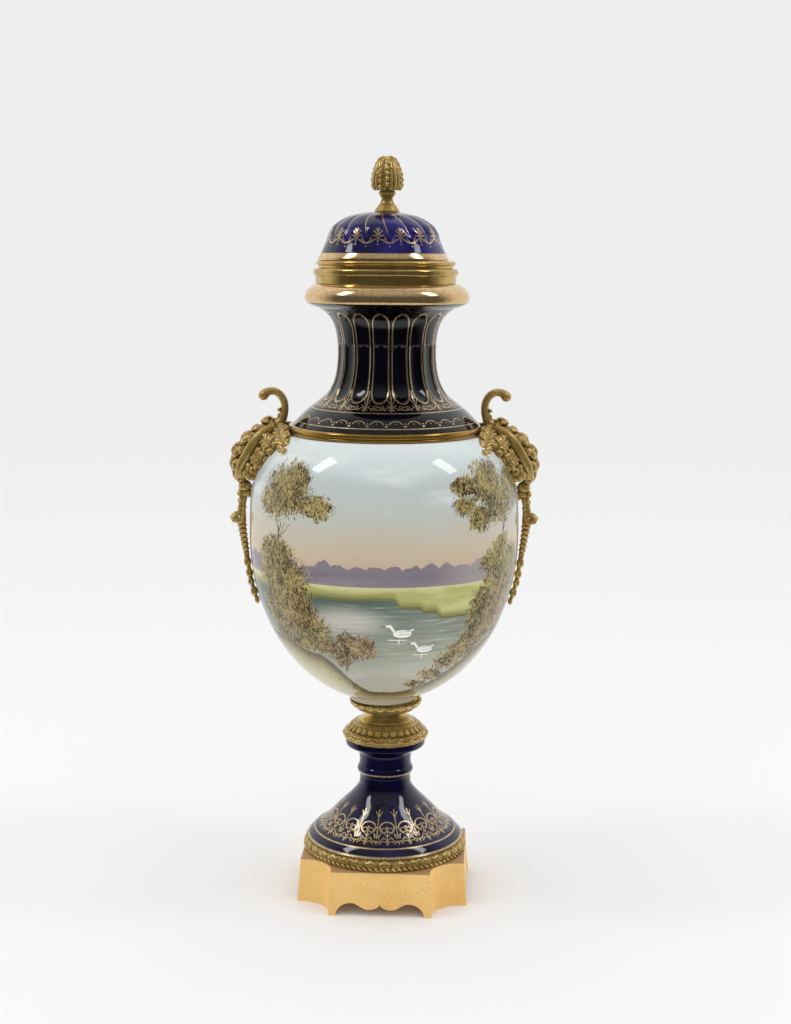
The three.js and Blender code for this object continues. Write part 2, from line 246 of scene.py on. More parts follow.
class Paint(Nodes):  # one material, with its shader
    def __init__(self, name, **sockets):
        self.material = bpy.data.materials.new(name)
        super().__init__(self.material)
        self.shader = next(n for n in self.tree.nodes if n.type == "BSDF_PRINCIPLED")
        self.set(sockets)

    def set(self, sockets):
        for key, value in sockets.items():
            self.join(self.shader.inputs[key.replace("_", " ")], value)

    def place(self, node):  # where a point is on its piece, in millimetres from the middle of the node's seat
        centre, bottom = seat(node)
        spot = self.node("TexCoord", {}, {}, 3)
        return self.node("Mapping", {}, {0: spot, 1: (-centre, 0, -bottom), 3: (1 / mm,) * 3})

    def around(self, place):  # the angle from the front in degrees, the height and the radius
        x, y, height = (self.node("SeparateXYZ", {}, {0: place}, i) for i in range(3))
        angle = x.math("ARCTAN2", y * -1) * math.degrees(1)
        return angle, height, (x * x + y * y).math("SQRT")

    def noise(self, place, scale, detail=2, roughness=0.5):
        return self.node("TexNoise", {}, {"Vector": place, "Scale": scale, "Detail": detail,
                                          "Roughness": roughness})

    def stretched(self, place, x, y, z):
        return place.vector("MULTIPLY", (x, y, z))

    def ramp(self, value, stops):
        return self.node("ValToRGB", {"stops": stops}, {0: value})

    def bump(self, height, distance, strength=1):
        return self.node("Bump", {}, {"Height": height, "Distance": distance * mm, "Strength": strength})


def tint(code):  # a colour from its web code
    parts = [int(code[i:i + 2], 16) / 255 for i in (0, 2, 4)]
    return (*(c / 12.92 if c <= 0.04045 else ((c + 0.055) / 1.055) ** 2.4 for c in parts), 1)


# The camera looks down a little on the urn, which stands slightly turned in the view.

view = {"spot": (0.0022, -1.21738, 0.4940), "down": 9.2366, "aside": 0.297, "lean": 0.409, "lens": 57.28}


def makeCamera():
    clearSelection()
    bpy.ops.object.camera_add(location=view["spot"])
    camera = bpy.context.object
    camera.name = "camera"
    turned = (Matrix.Rotation(math.radians(-view["aside"]), 4, "Z")
              @ Matrix.Rotation(math.radians(90 - view["down"]), 4, "X")
              @ Matrix.Rotation(math.radians(view["lean"]), 4, "Z"))
    camera.matrix_world = Matrix.Translation(view["spot"]) @ turned
    camera.data.lens = view["lens"]
    bpy.context.scene.camera = camera


makeCamera()
print("camera placed")


# Finishes: glazes, gilding and brass.

def clearGlaze(name):
    return Paint(name, Roughness=0.07, IOR=1.5)


def polishedBrass(name, node, colour="d9c07e", metal=0.82, low=0.09):
    paint = Paint(name, Metallic=metal)
    place = paint.place(node)
    cloud = paint.noise(place, 0.09, 3, 0.6)
    fine = paint.noise(paint.stretched(place, 0.25, 0.25, 2.5), 0.8, 2)
    dull = cloud.between(0.4, 0.75)
    paint.set({
        "Base_Color": paint.mix(dull * 0.6, colour, "94793c"),
        "Roughness": fine * 0.08 + dull * 0.12 + low,
    })
    return paint.material


def castGilt(name, node):
    paint = Paint(name, Metallic=0.64)
    place = paint.place(node)
    cloud = paint.noise(place, 0.12, 3, 0.6)
    grain = paint.noise(place, 1.3, 3, 0.6)
    # Pointiness paints light and shade into the colour: the hollows darken to a painted shade and the ridges
    # lighten to a painted highlight.
    ridge = paint.node("NewGeometry", {}, {}, 7)
    outsideShadedHollows = ridge.between(0.44, 0.56)
    body = paint.mix(cloud.between(0.35, 0.7), "d9b263", "f0d083")
    # Inside the hollows the gilt is darkened to a painted shade (402c0f).
    dark = paint.mix(outsideShadedHollows, "402c0f", body)
    # The ridges are lightened to a painted highlight (fce8b4).
    paintedHighlight = ridge.between(0.53, 0.66)
    paint.set({
        "Base_Color": paint.mix(paintedHighlight * 0.75, dark, "fce8b4"),
        "Roughness": grain * 0.14 + outsideShadedHollows * -0.1 + 0.26,
        "Normal": paint.bump(grain, 0.12, 0.5),
    })
    return paint.material


# Plinth: a box with hollow corners and a cut-out apron.

plinth = {
    "half": 62.1, "faceHalf": 37, "step": 2.5, "flare": 1.042, "wall": 3, "turn": -3.4, "soften": 0.35,
    "footHalf": 33.2, "archHalf": 21.6, "archHeight": 9.9, "lobeHalf": 8.6, "lobeHeight": 5, "cusp": 9.7,
}


def plinthPlan(inset):  # one corner of the plan, which is repeated four times
    half, faceHalf, step = plinth["half"], plinth["faceHalf"], plinth["step"]
    middle = half - step
    radius = middle - faceHalf + inset
    lead = math.asin(max(inset - step, 0) / radius)
    corner = [] if inset >= step else [(half - inset, faceHalf - inset)]
    for i in range(17):
        angle = -math.pi / 2 - lead - (math.pi / 2 - 2 * lead) * i / 16
        corner.append((middle + radius * math.cos(angle), middle + radius * math.sin(angle)))
    if inset < step:
        corner.append((faceHalf - inset, half - inset))
    return [(x * c - y * s, x * s + y * c) for c, s in ((1, 0), (0, 1), (-1, 0), (0, -1)) for x, y in corner]


def apronPlan():  # one face's opening: steep arches beside the feet, two lobes and a middle cusp
    p, turns = plinth, [math.pi / 2 * i / 10 for i in range(11)]
    side = [(p["footHalf"], -2)]
    side += [(p["archHalf"] + (p["footHalf"] - p["archHalf"]) * math.cos(t), p["archHeight"] * math.sin(t))
             for t in turns]
    side += [(p["archHalf"] + (p["lobeHalf"] - p["archHalf"]) * i / 10,
              p["archHeight"] + (p["lobeHeight"] - p["archHeight"]) * (1 - math.cos(math.pi * i / 10)) / 2)
             for i in range(1, 11)]
    side += [(p["lobeHalf"] * (1 - math.sin(t)),
              p["lobeHeight"] + (p["cusp"] - p["lobeHeight"]) * (1 - math.cos(t))) for t in turns[1:]]
    return side + [(-x, z) for x, z in reversed(side[:-1])]


def prism(name, plan, start, rise):  # a flat outline filled and extruded; the outline lies across rise
    piece = trace(name, [tuple(Vector(start) + Vector((a, b, 0) if rise[2] else (a, 0, b))) for a, b in plan])
    bpy.ops.mesh.select_all(action="SELECT")
    bpy.ops.mesh.edge_face_add()
    bpy.ops.mesh.extrude_region_move(TRANSFORM_OT_translate={"value": Vector(rise) * mm})
    return piece


def applied(piece, kind, **settings):  # adds one modifier and applies it
    bpy.context.view_layer.objects.active = piece
    modifier = piece.modifiers.new(kind, kind)
    for key, value in settings.items():
        setattr(modifier, key, value)
    bpy.ops.object.modifier_apply(modifier=modifier.name)
    return piece


def closeSolid(taper=1):  # closes an extruded outline, its far end selected, and leaves edit mode
    bpy.ops.transform.resize(value=(taper, taper, 1), center_override=(0, 0, 0))
    bpy.ops.mesh.select_all(action="SELECT")
    bpy.ops.mesh.normals_make_consistent(inside=False)
    bpy.ops.object.mode_set(mode="OBJECT")


def cutAway(piece, tool):
    applied(piece, "BOOLEAN", operation="DIFFERENCE", solver="EXACT", object=tool)
    bpy.data.objects.remove(tool)


def makePlinth():
    centre, bottom = seat("plinth")
    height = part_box("plinth")[1].z / mm - bottom
    flare, wall, half = plinth["flare"], plinth["wall"], plinth["half"]

    def tapered(name, inset, top):  # the walls lean in by the flare over the whole height
        wide = [(x * flare, y * flare) for x, y in plinthPlan(inset)]
        solid = prism(name, wide, (0, 0, -2 if inset else 0), (0, 0, top + (2 if inset else 0)))
        closeSolid(1 - (1 - 1 / flare) * top / height)
        return solid

    piece = tapered("plinth", 0, height)
    cutAway(piece, tapered("hollow", wall, height - wall))
    for turn in (0, 90):
        opening = prism("opening", apronPlan(), (0, -2 * half, 0), (0, 4 * half, 0))
        closeSolid()
        opening.data.transform(Matrix.Rotation(math.radians(turn), 4, "Z"))
        cutAway(piece, opening)
    applied(piece, "BEVEL", width=plinth["soften"] * mm, segments=2, limit_method="ANGLE",
            angle_limit=math.radians(30))
    piece.data.transform(Matrix.Translation((centre * mm, 0, 0))
                         @ Matrix.Rotation(math.radians(plinth["turn"]), 4, "Z"))
    finish(piece, satinGilt(), "plinth", slot="satin_gilt", smoothAngle=25)


def satinGilt():
    paint = Paint("satin gilt", Metallic=0.12)
    place = paint.place("plinth")
    cloud = paint.noise(place, 0.05, 3, 0.6)
    grain = paint.noise(place, 1.2, 3, 0.6)
    height = paint.around(place)[1]
    pits = paint.node("TexVoronoi", {}, {"Vector": place, "Scale": 0.3})
    spot = pits.under(0.12, 0.04) * paint.noise(place, 0.06, 2).between(0.47, 0.58)
    top = height.between(32.4, 33.2)
    # Low pointiness darkens the hollow corners and creases to a painted shade (7d5526).
    edge = paint.node("NewGeometry", {}, {}, 7)
    base = paint.mix(cloud.between(0.3, 0.75), "fbcf82", "f3c272")
    base = paint.mix(top * 0.85, base, "a07a58")
    base = paint.mix(edge.under(0.48, 0.03) * 0.7, base, "7d5526")
    paint.set({
        "Base_Color": paint.mix(spot * 0.8, base, "4a2f14"),
        "Roughness": grain * 0.12 + top * -0.08 + 0.4,
        "Normal": paint.bump(grain * 0.25 - spot, 0.15, 0.5),
    })
    return paint.material


makePlinth()


# Foot ring: a band of leaves over a twisted rope.

footRing = {"leaves": 36, "leafDepth": 0.9, "strands": 90, "strandDepth": 0.5}


def makeFootRing():
    line = [(54, 0), (60.4, 0)] + curveThrough([(60.4, 0), (62.3, 0.5), (62.9, 2), (62.1, 3.4)], 5) \
        + curveThrough([(62.1, 3.4), (62.3, 4.4), (61.9, 6), (60.6, 7.6), (60, 8.1)], 5) + [(54, 8.1)]
    piece = turn("foot_ring", "foot_ring", evenly(line, 0.5), 720, closed=True)

    def relief(angle, rise, radius):
        rope = footRing["strandDepth"] * np.cos(np.radians(footRing["strands"] * angle) + rise * 1.5)
        across = wrapped(angle, 360 / footRing["leaves"]) / (180 / footRing["leaves"])
        up = (rise - 3.4) / 4.6
        leaf = np.clip(1 - (across / np.maximum(0.98 - 0.75 * up ** 2, 0.05)) ** 2, 0, 1) ** 0.5
        rib = np.exp(-(across / 0.12) ** 2) * 0.5 + 0.25 * np.cos(up * 16 + abs(across) * 7)
        outer = radius > 59.9
        return outer * np.where(rise < 3.4, rope * ease(rise, 0.1, 0.8), footRing["leafDepth"] * (leaf - 0.75)
                                + rib * 0.35 * leaf) * ease(8.1 - rise, 0, 0.5)

    chase(piece, "foot_ring", relief)
    finish(piece, castGilt("chased foot ring", "foot_ring"), "foot_ring", slot="gilt_brass")


makeFootRing()


# Foot: a flared cobalt dome with a bead half way up its stem.

foot = {
    "dome": [(60.1, 1), (54.6, 6.8), (46.4, 12.5), (36.7, 22.7), (26.5, 32.7), (20.6, 40.2), (19.6, 46.2)],
    "bead": [(19.7, 49.4), (20.7, 50.7), (21.5, 53.1), (20.9, 55.2), (20.0, 56.4)],
    "stem": [(19.8, 61.7), (21, 67.1), (24.6, 69.7), (29.6, 72.5), (30.6, 74.7), (30.4, 77.2)],
    "repeats": 18, "scrollTurn": 2.5, "goldLine": 6.8, "patternRise": 1.5,
}


def makeFoot():
    inside = [(0, 60.5), (12, 57.5), (13.5, 46), (15, 39), (22, 29), (32, 19), (42, 9), (54, 2.5), (55, 0)]
    dome = curveThrough(foot["dome"], 10)
    line = inside + [(59.4, 0), (60, 0.4)] + dome + curveThrough(foot["bead"], 5) \
        + curveThrough(foot["stem"], 6) + [(0, 77.2)]
    piece = turn("foot", "foot", line, 144)
    finish(piece, footGlaze(), "foot", slot="cobalt_porcelain", smoothAngle=50)


def footGlaze():
    paint = clearGlaze("cobalt foot")
    place = paint.place("foot")
    angle, height, radius = paint.around(place)
    gold = height.under(2.2, 0.1) * height.between(0.2, 0.5)
    gold = gold.most(height.near(foot["goldLine"], 0.75, 0.08)).most(height.near(51.9, 1.5, 0.15))
    gold = gold.most(scrollwork(paint, angle, height, radius))
    gildGlaze(paint, place, gold, "06051c", "120d3c")
    return paint.material


def stroke(point, start, end, width, taper=0.0):  # the distance outside a stroke of a brush
    run = Vector(end) - Vector(start)
    offset = point.vector("SUBTRACT", (*start, 0))
    share = offset.vector("DOT_PRODUCT", (*(run / run.length_squared), 0), output=1)
    share = share.math("MULTIPLY", 1, clamp=True)
    nearest = point.paint.node("VectorMath", {"operation": "SCALE"}, {0: (*run, 0), "Scale": share})
    away = offset.vector("DISTANCE", nearest, output=1)
    return away - width / 2 + (share * (taper * width / 2) if taper else 0)


def ring(point, centre, radius, width):
    return abs(point.vector("DISTANCE", (*centre, 0), output=1) - radius) - width / 2


def blob(point, centre, radius):
    return point.vector("DISTANCE", (*centre, 0), output=1) - radius


def closest(shapes):
    nearest = shapes[0]
    for shape in shapes[1:]:
        nearest = nearest.least(shape)
    return nearest


def joinXY(paint, x, y):
    return paint.node("CombineXYZ", {}, {0: x, 1: y})


def scrollwork(paint, angle, height, radius):  # tridents over round arches, palmettes and tendrils
    cell = 360 / foot["repeats"]
    y = (height - foot["goldLine"]) * foot["patternRise"]
    perDegree = radius * math.radians(1)
    arch = joinXY(paint, abs(angle.wrapped(cell, -foot["scrollTurn"])) * perDegree, y)
    stem = joinXY(paint, abs(angle.wrapped(cell, cell / 2 - foot["scrollTurn"])) * perDegree, y)
    below = y.between(12.4, 11.6) * 9
    shapes = [
        ring(arch, (0, 17), 5.4, 1.1) + below,
        ring(stem, (0, 10.4), 5.2, 0.9) + y.between(8.6, 9.4) * 9,
        ring(arch, (2.4, 15.2), 1.9, 0.7),
        blob(arch, (0, 17.6), 0.9),
        stroke(arch, (0, 4.6), (0, 14), 0.8),
        stroke(arch, (0, 6), (2.9, 9.2), 0.8, 0.5),
        stroke(arch, (0, 5.2), (3.8, 5.9), 0.8, 0.5),
        stroke(arch, (0, 9.5), (2.2, 12), 0.8, 0.5),
        stroke(arch, (0, 3), (1.3, 5), 0.7, 0.3),
        stroke(arch, (3.4, 5.9), (6.4, 3.9), 0.7),
        stroke(arch, (5.4, 12), (6.7, 8), 0.8),
        stroke(stem, (0, 8.5), (0, 33), 0.85),
        stroke(stem, (0, 26.8), (2.5, 31.6), 0.8, 0.4),
        stroke(stem, (0, 16.5), (2.4, 19.8), 0.7, 0.4),
        stroke(stem, (0, 9.5), (2.1, 11.6), 0.7, 0.4),
        stroke(stem, (0, 3.4), (0, 6.2), 0.7),
        stroke(stem, (0, 4.2), (1.8, 6.2), 0.7, 0.4),
        blob(stem, (0, 8.6), 0.75),
    ]
    return closest(shapes).under(0, 0.1)


def gildGlaze(paint, place, gold, dark="0b0930", light="1d1560"):  # blue glaze with thin gold lines
    depth = paint.noise(place, 0.035, 3, 0.55)
    rub = paint.noise(place, 0.6, 3, 0.6)
    blue = paint.mix(depth.between(0.35, 0.7), dark, light)
    pale = paint.mix(rub.between(0.35, 0.65), "dcc7a0", "b3936a")
    paint.set({
        "Base_Color": paint.mix(gold, blue, pale),
        "Metallic": gold * 0.9,
        "Roughness": gold * 0.22 + rub * 0.02 + 0.06,
    })


makeFoot()


# Knop: a leafy flange under a ring of lobes.

knop = {"lobes": 30, "lobeDepth": 1.3, "leaves": 20}


def makeKnop():
    line = [(0, 0), (29.6, 0)] + curveThrough([(30.2, 0), (31.5, 1.2), (32.9, 3.6), (32.5, 5.2), (31.6, 6.6)], 5) \
        + [(30.4, 7.2), (29.4, 7.4)] + curveThrough([(28.6, 7.9), (28, 9.3), (25.6, 12)], 8) \
        + curveThrough([(24.9, 12.2), (24.7, 13.1), (23.4, 13.4), (22.2, 14)], 3) + [(0, 14)]
    piece = turn("knop", "knop", line[:1] + evenly(line[1:-1], chaseGap) + line[-1:], 480)

    def relief(angle, rise, radius):
        across = wrapped(angle, 360 / knop["lobes"]) / (180 / knop["lobes"])
        along = (rise - 9.9) / 2.3
        lobe = np.sqrt(np.clip(1 - (across / 0.82) ** 2 - along ** 2, 0, 1))
        leafAcross = abs(wrapped(angle, 360 / knop["leaves"])) / (180 / knop["leaves"])
        veins = np.cos(rise * 2.6 + leafAcross * 5) * 0.22 + np.exp(-(leafAcross / 0.12) ** 2) * 0.3
        tips = -0.9 * leafAcross ** 2 * ease(rise, 2.6, 5.2)
        flange = (veins + tips) * ease(rise, 0.3, 1) * ease(7.1 - rise, 0, 0.5)
        return (radius > 22) * np.where(rise < 7.5, flange * (radius > 29.8), knop["lobeDepth"] * (lobe - 0.35)
                                        * ease(rise, 7.6, 8) * ease(12.3 - rise, 0, 0.4))

    chase(piece, "knop", relief)
    finish(piece, castGilt("chased knop", "knop"), "knop", slot="gilt_brass")


makeKnop()


# Dish: a polished spool that opens into a thin leaf-edged dish under the vase.

dish = {"leaves": 20}


def makeDish():
    line = [(0, 0), (20.4, 0)] + curveThrough([(20.8, 0.2), (20.5, 1.3), (18.2, 2.4), (16, 3.6), (14.5, 5.6),
                                              (15.2, 6.6), (16.4, 7.1)], 6) \
        + curveThrough([(17.4, 7.3), (21, 8.8), (24.6, 11), (27, 13.8), (28, 16)], 8) \
        + [(27.8, 16.4), (27.2, 16.3), (25.6, 13.6), (24.4, 13), (24, 16.8), (23.4, 17.2), (0, 17.2)]
    piece = turn("dish", "dish", line[:1] + evenly(line[1:-1], chaseGap) + line[-1:], 360)

    def relief(angle, rise, radius):
        across = abs(wrapped(angle, 360 / dish["leaves"])) / (180 / dish["leaves"])
        up = ease(rise, 7.6, 16)
        veins = np.cos(rise * 2.2 + across * 5) * 0.2 + np.exp(-(across / 0.12) ** 2) * 0.35
        outer = (radius > 17.5) & (rise > 7) & (radius > 25.6 - (16 - rise) * 1.4)
        return outer * up * (veins - 0.9 * across ** 2)

    chase(piece, "dish", relief)
    finish(piece, polishedBrass("polished dish", "dish"), "dish", slot="gilt_brass")


makeDish()


# Vase body: a tall egg of porcelain, open at the top.

vase = {"radius": 101.7, "widest": 131.2, "depth": 131.8, "roundness": 2.09, "rise": 109.6,
        "shoulder": 3.32, "wall": 4.6, "top": 204.6}


def bellyLine(inset, lowest, highest, steps):  # the belly's outline from low to high, or its inner side
    line = []
    for i in range(steps + 1):
        share = i / steps
        height = vase["widest"] + (lowest - vase["widest"]) * math.cos(share * math.pi / 2)
        fall = (vase["widest"] - height) / (vase["depth"] - inset)
        line.append(((vase["radius"] - inset) * math.sqrt(max(1 - fall ** vase["roundness"], 0)), height))
    for i in range(1, steps + 1):
        height = vase["widest"] + (highest - vase["widest"]) * math.sin(i / steps * math.pi / 2)
        fall = (height - vase["widest"]) / vase["rise"]
        line.append((vase["radius"] * (1 - fall ** vase["shoulder"]) - inset * (1 + fall), height))
    return line


def makeVase():
    outer = bellyLine(0, 4, vase["top"], 60)
    inner = bellyLine(vase["wall"], 5.5, vase["top"], 30)
    line = [(0, 0), (24.8, 0), (25.6, 0.4), (26, 1.2), (26, 3.6)] + outer + inner[::-1] + [(0, 5)]
    piece = turn("vase_body", "vase_body", line, 192)
    finish(piece, riverPainting(), "vase_body", slot="painted_porcelain", smoothAngle=50)


# The painting: a river between wooded banks. Places are in millimetres, along the glaze from the
# middle of the front and up from the ground.

painting = {
    "leafWide": 1.5, "leafTall": 2.9,
    "extraDabs": [  # width, height, shift, colour, amount
        (1.1, 2.6, 3.7, "b9a76c", 0.5), (1, 2.2, 11.9, "2a200e", 0.75), (0.8, 2, 23.1, "d0c088", 0.35),
    ],
    "trees": [  # each clump's middle and its half width and height
        (-78, 322, 27, 21), (-68, 332, 15, 13), (-52, 313, 17, 11), (-92, 314, 21, 15),
        (84, 328, 23, 19), (98, 314, 24, 18), (62, 328, 15, 8), (62, 314, 12, 9), (76, 304, 14, 11),
        (118, 322, 22, 18),
        (-90, 276, 22, 15), (-84, 262, 32, 16), (-78, 248, 29, 14), (-66, 232, 23, 14), (-50, 222, 14, 12),
        (-42, 210, 14, 9), (-30, 201, 8, 8), (-92, 236, 20, 16), (-82, 220, 16, 12), (-60, 212, 20, 9),
        (100, 282, 14, 9), (94, 270, 19, 13), (98, 255, 23, 14), (86, 244, 21, 14), (84, 230, 23, 14),
        (80, 216, 21, 12), (64, 206, 18, 10), (50, 197, 14, 9), (36, 187, 13, 7), (24, 178, 10, 5),
        (118, 262, 24, 22), (112, 240, 24, 20), (104, 222, 20, 14),
        (-21, 210, 13, 11), (-12, 214, 9, 8), (-27, 216, 8, 8), (-9, 207, 6, 5),
        (205, 238, 26, 15), (224, 230, 18, 12), (-228, 240, 22, 17), (-210, 230, 20, 11),
    ],
    "trunks": [((-84.5, 284), (-84, 299), 1.6), ((-84.2, 286), (-79.5, 300), 1.1), ((-84, 291), (-89, 303), 1.1),
               ((-82.5, 288), (-74, 299), 0.9), ((102, 286), (105, 302), 1.6), ((104, 292), (109, 303), 1),
               ((-25.5, 191), (-24, 205), 1.3), ((-25, 194), (-18, 205), 1), ((-25.3, 193), (-31, 202), 0.9)],
    "swans": [((13.6, 223), 1), ((30.1, 209.6), 0.88)],
}


def clumps(paint, point):  # how far out of the nearest clump of leaves a point lies, 1 at its edge
    reach = None
    for x, z, wide, tall in painting["trees"]:
        spot = paint.node("Mapping", {}, {0: point, 1: (-x / wide, -z / tall, 0), 3: (1 / wide, 1 / tall, 0)})
        away = spot.vector("LENGTH", output=1)
        reach = away if reach is None else reach.least(away)
    return reach


def dabs(paint, point, wide, tall, shift=0.0):  # short brush strokes: distance, place and three chances
    spot = paint.node("Mapping", {}, {0: point, 1: (shift, shift, 0), 3: (1 / wide, 1 / tall, 0)})
    away = paint.node("TexVoronoi", {"voronoi_dimensions": "2D"}, {"Vector": spot, "Scale": 1.0})
    middle = away.also(2).vector("MULTIPLY", (wide, tall, 0))
    chance = paint.node("SeparateColor", {}, {0: away.also(1)})
    return away, middle, chance, chance.also(1), chance.also(2)


def swan(paint, flat, middle, size):  # the white and the dark strokes of one swan
    moved = (-middle[0] / size, -middle[1] / size, 0)
    spot = paint.node("Mapping", {}, {0: flat, 1: moved, 3: (1 / size,) * 3})
    oval = spot.vector("MULTIPLY", (1 / 6.8, 1 / 3.2, 0))
    body = (oval.vector("LENGTH", output=1) - 1) * 3.2
    white = closest([
        body,
        stroke(spot, (-5.4, 1), (-8.6, 6.2), 2),
        stroke(spot, (-8.6, 6.3), (-11.2, 6.2), 1.9),
        stroke(spot, (4, 1.4), (8, 3.4), 2.2, 0.6),
        stroke(spot, (-9.5, -4.8), (3, -5.1), 0.8, 0.3),
        stroke(spot, (-2.6, -5), (-2.4, -8.4), 1.1, 0.6),
    ]).under(0, 0.12)
    dark = closest([
        stroke(spot, (-11.8, 6.1), (-16, 5.6), 0.8, 0.4),
        stroke(spot, (-2.6, 1.6), (6.4, 2.2), 0.4),
        stroke(spot, (-2, -0.5), (6, 0), 0.4),
        stroke(spot, (-6, -3.4), (6.6, -3.2), 0.7, 0.4),
        abs(body - 0.1) - 0.1,
    ]).under(0, 0.12)
    return white, dark


def riverPainting():
    paint = clearGlaze("river painting")
    place = paint.place("vase_body")
    angle, rise, radius = paint.around(place)
    x, z = angle * radius * math.radians(1), rise + seat("vase_body")[1]
    flat = joinXY(paint, x, z)
    wind = paint.noise(place, 0.07, 3, 0.6).also(1).vector("SUBTRACT", (0.5, 0.5, 0.5))
    swayed = wind.vector("MULTIPLY_ADD", (9, 7, 0), flat)
    broad = paint.noise(place, 0.02, 3, 0.55)
    soft = paint.noise(paint.stretched(place, 0.35, 0.35, 1.4), 0.05, 3, 0.6)
    fine = paint.noise(place, 0.35, 3, 0.6)
    ripple = paint.noise(paint.stretched(place, 0.09, 0.09, 1.6), 0.35, 3, 0.6)

    # Sky, pale blue above and peach above the trees
    level = z + (soft - 0.5) * 22
    picture = paint.ramp(level.math("SUBTRACT", 270) * 0.01, [
        (0, "c6b29c"), (0.1, "c9b89f"), (0.24, "c6bdab"), (0.36, "bfc3bb"),
        (0.58, "bbc4c3"), (0.76, "d0d9d9"), (1, "e4ebe9")])
    picture = paint.mix(soft.between(0.5, 0.72) * z.between(300, 320) * 0.5, picture, "e2e7e4")

    # Far trees and their shade
    humps = paint.noise(paint.stretched(place, 1, 1, 0.2), 0.055, 4, 0.62)
    crest = (humps - 0.5) * 14 + abs(x.wrapped(13, 6)) * abs(x.wrapped(13, 6)) * -0.07 \
        + abs(x.wrapped(41, 2)) * -0.16 + 275.5
    far = (z - crest).under(0, 0.5) * z.between(257.6, 258.4)
    shade = paint.ramp((z - 258) * 0.06, [(0, "978d93"), (0.5, "837a83"), (1, "8a8088")])
    shade = paint.mix(soft.between(0.42, 0.62) * 0.4, shade, "6d656f")
    shade = paint.mix(x.between(20, 75) * 0.6, shade, "b0a8a4")
    picture = paint.mix(far, picture, shade)

    # Meadow, its shore in steps
    shore = x.between(7, 13) * -6.4 + x.between(25, 31) * -3.6 + x.between(37, 44) * -5.4 \
        + angle.between(120, 170) * 15.4 + (soft - 0.5) * 4 + 248.4
    grass = paint.mix((z - shore).between(2, 8), "8d8c58", "cac68c")
    grass = paint.mix(soft.between(0.52, 0.68) * 0.6, grass, "a9a765")
    grass = paint.mix((z - 256.5).between(-1.5, 1) * 0.6, grass, "d4d19f")
    picture = paint.mix(z.under(258.2, 0.4), picture, grass)
    picture = paint.mix((z - shore).near(0.8, 1.4, 0.7) * 0.6, picture, "4c5136")

    # Water, dark under the shore, with pale streaks lower down
    deep = z + (ripple - 0.5) * 16 + x.between(-20, 40) * -12
    water = paint.ramp((deep - 172) * 0.013, [
        (0, "bfbcab"), (0.18, "b2b3a4"), (0.38, "999c8b"), (0.6, "848c7e"),
        (0.76, "738077"), (0.92, "64726a"), (1, "54625a")])
    rosy = paint.node("Mapping", {}, {0: flat, 1: (28 / 34, -231 / 13, 0), 3: (1 / 34, 1 / 13, 0)}).vector(
        "LENGTH", output=1)
    water = paint.mix(rosy.under(0.75, 0.5) * 0.85, water, "c4bfb4")
    water = paint.mix(ripple.between(0.55, 0.68) * 0.38, water, "d0d3c7")
    water = paint.mix(ripple.under(0.4, 0.06) * z.between(190, 205) * 0.4, water, "56645a")
    picture = paint.mix((z - shore).under(0, 0.5), picture, water)

    # Near banks
    left = x.between(-4, -52) * 32.5 + x.between(-50, -90) * 9.5 + 169.5
    right = x.between(5, 112) * 42 + 170
    bank = left.most(right) + (fine - 0.5) * 2.4
    below = z - bank
    land = paint.ramp((below + 34) * 0.03, [
        (0, "d6ccb2"), (0.3, "d2caa6"), (0.6, "bfb891"), (0.78, "a69d77"),
        (0.9, "7f7250"), (1, "65563c")])
    tufts = dabs(paint, swayed, 0.9, 3.4, 7.3)
    land = paint.mix((tufts[2] - 0.72 - tufts[0] * 0.3).between(0, 0.05) * (below + 18).between(0, 10) * 0.6,
                     land, "8a8450")
    picture = paint.mix(below.under(0, 0.5), picture, land)
    picture = paint.mix(below.near(-0.4, 1.6, 0.8) * 0.4, picture, "5c4e36")

    # Trunks, then leaves as brush strokes over a soft wash
    bark = closest([stroke(swayed, *trunk, 0.4) for trunk in painting["trunks"]]).under(0, 0.15)
    picture = paint.mix(bark * 0.9, picture, "4b3b29")
    away, middle, chance, tone, lean = dabs(paint, swayed, painting["leafWide"], painting["leafTall"])
    reach = clumps(paint, middle)
    clump = paint.noise(place, 0.085, 3, 0.6)
    tip = (z - middle.paint.node("SeparateXYZ", {}, {0: middle}, 1)) * 0.12
    small = flat.vector("DISTANCE", (-19, 209, 0), output=1).under(21, 3)
    value = tone * 0.42 + clump.between(0.34, 0.66) * 0.46 + tip + (reach - 0.5) * 0.16
    leaf = paint.ramp(value, [(0, "2e240f"), (0.25, "4b3d1d"), (0.5, "6c5b31"),
                              (0.75, "8f7e4c"), (1, "b1a06c")])
    warm = paint.ramp(value, [(0, "3a2a19"), (0.35, "664b30"), (0.7, "937253"),
                              (1, "b69878")])
    green = z.between(244, 282).least(z.under(296, 6)).most(lean.between(0.7, 0.95) * 0.8)
    leaf = paint.mix(green * 0.55, leaf, paint.ramp(value, [
        (0, "39330f"), (0.4, "6a6027"), (1, "b0a65a")]))
    russet = small.most(broad.between(0.5, 0.6) * z.under(262, 20) * 0.75)
    leaf = paint.mix(russet, leaf, warm)
    picture = paint.mix((reach + (clump - 0.5) * 0.7).under(0.72, 0.22) * 0.75, picture,
                        paint.mix(russet, "77663c", "84684a"))
    mask = (reach * -1 - chance * 0.42 - away * 0.34 + 1.12 + (clump - 0.5) * 0.5).between(0, 0.05)
    picture = paint.mix(mask * 0.95, picture, leaf)
    for wide, tall, shift, colour, amount in painting["extraDabs"]:
        layer = dabs(paint, swayed, wide, tall, shift)
        spots = (layer[2] * 0.6 - layer[0] * 0.7 - reach * 0.32 + clump * (0.5 if amount < 0.7 else -0.5)
                 + (-0.2 if amount < 0.7 else 0.3)).between(0, 0.05)
        picture = paint.mix(spots * amount * reach.under(0.98, 0.06), picture, colour)

